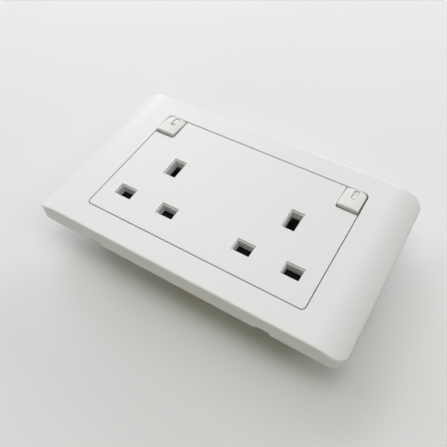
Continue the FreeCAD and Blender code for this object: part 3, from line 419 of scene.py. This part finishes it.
def block(name, low, high):
    bpy.ops.object.select_all(action="DESELECT")
    bpy.ops.mesh.primitive_cube_add(size=1)
    piece = bpy.context.object
    piece.name = name
    piece.location = tuple((a + b) / 2 for a, b in zip(low, high))
    piece.scale = tuple(b - a for a, b in zip(low, high))
    onlySelect(piece)
    bpy.ops.object.transform_apply(location=True, rotation=False, scale=True)
    return piece


def roundedBlock(name, low, high, corners, steps):
    # a block with its four upright edges rounded: lower left, lower right, upper right, upper left
    piece = block(name, low, high)
    middle = [(a + b) / 2 for a, b in zip(low, high)]
    for (sideX, sideY), radius in zip(((-1, -1), (1, -1), (1, 1), (-1, 1)), corners):
        bevelEdges(
            piece, radius, steps,
            lambda spot: (spot.x - middle[0]) * sideX > 0 and (spot.y - middle[1]) * sideY > 0,
        )
    return piece


def rod(name, radius, start, end, turn=(0, 0, 0), sides=cutter["rodSides"]):
    # a round bar from one place to the other, upright unless it is turned
    bpy.ops.object.select_all(action="DESELECT")
    middle = tuple((a + b) / 2 for a, b in zip(start, end))
    bpy.ops.mesh.primitive_cylinder_add(
        vertices=sides, radius=radius, depth=math.dist(start, end), location=middle, rotation=turn
    )
    piece = bpy.context.object
    piece.name = name
    bpy.ops.object.transform_apply(location=True, rotation=True, scale=True)
    return piece


def combine(piece, other, operation):
    # cuts with, joins to or keeps what is shared with the other piece, which is used up
    change = piece.modifiers.new("shape", "BOOLEAN")
    change.object = other
    change.operation = operation
    change.solver = "EXACT"
    onlySelect(piece)
    bpy.ops.object.modifier_apply(modifier=change.name)
    bpy.data.objects.remove(other)


def setDown(piece, place, lean):
    # tips a piece back and moves it, and leaves its place in its mesh
    piece.location = place
    piece.rotation_euler = (-math.radians(lean), 0, 0)
    onlySelect(piece)
    bpy.ops.object.transform_apply(location=True, rotation=True, scale=True)


def windowBlock(name, bottom, top, less=0.0):
    halfWidth = window["width"] / 2 - less
    halfLength = window["length"] / 2 - less
    return roundedBlock(
        name,
        (window["x"] - halfWidth, window["y"] - halfLength, bottom),
        (window["x"] + halfWidth, window["y"] + halfLength, top),
        [window["corner"] - less] * 4,
        window["cornerSteps"],
    )


def smoothShade(piece):
    change = piece.modifiers.new("normals", "WEIGHTED_NORMAL")
    change.keep_sharp = True
    onlySelect(piece)
    bpy.ops.object.shade_smooth_by_angle(angle=math.radians(smoothAngle))
    bpy.ops.object.modifier_apply(modifier=change.name)


def makeFace(name, corners):
    # the cap's outer form: a block with a rounded brow, cut to its plan and crowned across
    low = (-rocker["left"], -rocker["lower"], rocker["foot"])
    high = (rocker["right"], rocker["upper"], rocker["rise"])
    near = cutter["near"]
    cap = block(name, low, high)
    bevelEdges(
        cap, rocker["brow"], rocker["browSteps"],
        lambda spot: spot.y < near - rocker["lower"] and spot.z > rocker["rise"] - near,
    )
    plan = roundedBlock(
        "plan",
        (low[0], low[1], cutter["foot"]),
        (high[0], high[1], cutter["top"]),
        [rocker[corner] for corner in corners],
        rocker["cornerSteps"],
    )
    combine(cap, plan, "INTERSECT")

    halfWidth = (rocker["left"] + rocker["right"]) / 2
    middle = (rocker["right"] - rocker["left"]) / 2
    radius = (halfWidth ** 2 + rocker["crown"] ** 2) / (2 * rocker["crown"])
    centre = rocker["rise"] - radius
    half = cutter["halfDrum"]
    drum = rod(
        "drum", radius, (middle, -half, centre), (middle, half, centre),
        (math.pi / 2, 0, 0), cutter["drumSides"],
    )
    combine(cap, drum, "INTERSECT")
    return cap


def makeStem(ceiling):
    # the stem with its two trunnions, and the bore that holds the plunger
    stem = rod(
        "stem", rocker["stem"], (0, 0, -rocker["stemLength"]), (0, 0, ceiling + rocker["stemBite"])
    )
    reach = rocker["trunnionReach"]
    trunnions = rod(
        "trunnions", rocker["trunnion"], (-reach, 0, 0), (reach, 0, 0), (0, math.pi / 2, 0)
    )
    combine(stem, trunnions, "UNION")
    bore = rod("bore", rocker["bore"], (0, 0, cutter["boreFoot"]), (0, 0, rocker["boreTop"]))
    combine(stem, bore, "DIFFERENCE")
    return stem


def makeCap(name, corners, place):
    cap = makeFace("rockerCap_" + name, corners)
    rise, skin, wall = rocker["rise"], rocker["skin"], rocker["hollowWall"]
    combine(cap, windowBlock("opening", rise - 2 * skin, rise + cutter["over"]), "DIFFERENCE")
    reachX = rocker["hollowX"]
    reachY = rocker["upper"] - wall
    lowY = wall - rocker["lower"]
    hollow = roundedBlock(
        "hollow",
        (-reachX, lowY, cutter["foot"]),
        (reachX, reachY, rise - skin),
        [rocker["smallCorner"]] * 4,
        rocker["hollowSteps"],
    )
    combine(cap, hollow, "DIFFERENCE")
    stem = makeStem(rise - skin)
    setDown(stem, (0, 0, 0), rocker["stemLean"] - rocker["lean"])
    combine(cap, stem, "UNION")

    def outside(spot):
        # on the face, or past the walls of the hollow
        beyond = max(abs(spot.x) - reachX, spot.y - reachY, lowY - spot.y)
        return spot.z > rise - skin / 2 or beyond > cutter["near"]

    bevelEdges(cap, rocker["edge"], rocker["edgeSteps"], outside, sharpOnly=True)
    setDown(cap, place, rocker["lean"])
    smoothShade(cap)
    return cap


def makeLens(name, place):
    top = rocker["rise"] - window["sunk"]
    lens = windowBlock("lens_" + name, rocker["rise"] - rocker["skin"], top, window["play"])
    bevelEdges(
        lens, window["dome"], window["domeSteps"],
        lambda spot: spot.z > top - cutter["veryNear"],
    )
    setDown(lens, place, rocker["lean"])
    smoothShade(lens)
    return lens


def makeRocker(side, name):
    # the corners run from the lower left, turning left; the wide one is the upper outer one
    corners = ["closeCorner", "smallCorner", "wideCorner", "smallCorner"]
    if side < 0:
        corners = ["smallCorner", "closeCorner", "smallCorner", "wideCorner"]
    place = (side * rocker["pivot"][0], rocker["pivot"][1], rocker["pivot"][2])

    cap = makeCap(name, corners, place)
    giveFinish(cap, finishes["switch_plastic"])
    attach(cap, "rocker_" + name + "_body")
    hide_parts("rocker_" + name)

    lens = makeLens(name, place)
    giveFinish(lens, lensPlastic("indicator_lens_" + name, lenses[name]))
    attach(lens, "rocker_" + name + "_body")
    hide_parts("indicator_lens_" + name)
    return cap, lens


for name, side in (("left", -1), ("right", 1)):
    made = makeRocker(side, name)
    print("rocker", name, "made:", [len(piece.data.polygons) for piece in made], "faces")


def tableFinish():
    material, base, place = startMaterial("tableTop")
    cloud = base.noise(place, table["cloud"], table["cloudDetail"])
    speck = base.noise(place, table["speck"], table["speckDetail"])
    share = cloud * table["cloudShare"] + speck * table["speckShare"]
    endMaterial(base, {
        "Base Color": clouded(share, table, "speckle"),
        "Roughness": table["rough"] + speck * table["uneven"],
        "Specular IOR Level": table["shine"],
    })
    return material


bpy.ops.object.select_all(action="DESELECT")
bpy.ops.mesh.primitive_circle_add(
    vertices=table["sides"], radius=table["radius"], fill_type="NGON", location=(0, 0, table["height"])
)
tableTop = bpy.context.object
tableTop.name = "tableTop"
giveFinish(tableTop, tableFinish())
print("table laid")

for name, lamp in lamps.items():
    light = bpy.data.lights.new(name, "AREA")
    light.shape = "DISK"
    light.size = lampRing["wide"]
    light.energy = lamp["power"]
    light.color = lamp["colour"]
    bearing = math.radians(lamp["bearing"])
    rise = math.radians(lamp["rise"])
    stand = bpy.data.objects.new(name, light)
    stand.location = (
        lampRing["reach"] * math.cos(rise) * math.cos(bearing),
        lampRing["reach"] * math.cos(rise) * math.sin(bearing),
        lampRing["reach"] * math.sin(rise),
    )
    stand.rotation_euler = (math.pi / 2 - rise, 0, bearing + math.pi / 2)
    bpy.context.scene.collection.objects.link(stand)

# a pale room that is seen, also in glossy and clear surfaces, but sheds no light
world = bpy.data.worlds.new("room")
world.use_nodes = True
world.node_tree.nodes.clear()
room = Field(world.node_tree)
ray = room.node("ShaderNodeLightPath")
seen = ray["Is Camera Ray"] + ray["Is Glossy Ray"] + ray["Is Transmission Ray"]
seen = room.calc("MINIMUM", seen, 1.0)
shown = room.node("ShaderNodeBackground", {
    "Color": backdrop["colour"],
    "Strength": seen * backdrop["strength"],
})
room.node("ShaderNodeOutputWorld", {"Surface": shown})
bpy.context.scene.world = world
bpy.context.scene.view_settings.view_transform = "Standard"

lensData = bpy.data.cameras.new("viewer")
lensData.lens = camera["lens"]
lensData.sensor_width = camera["sensor"]
lensData.clip_start = camera["nearest"]
viewer = bpy.data.objects.new("viewer", lensData)
viewer.location = camera["place"]
viewer.rotation_euler = tuple(math.radians(angle) for angle in camera["turn"])
bpy.context.scene.collection.objects.link(viewer)
bpy.context.scene.camera = viewer
print("camera and lamps set")
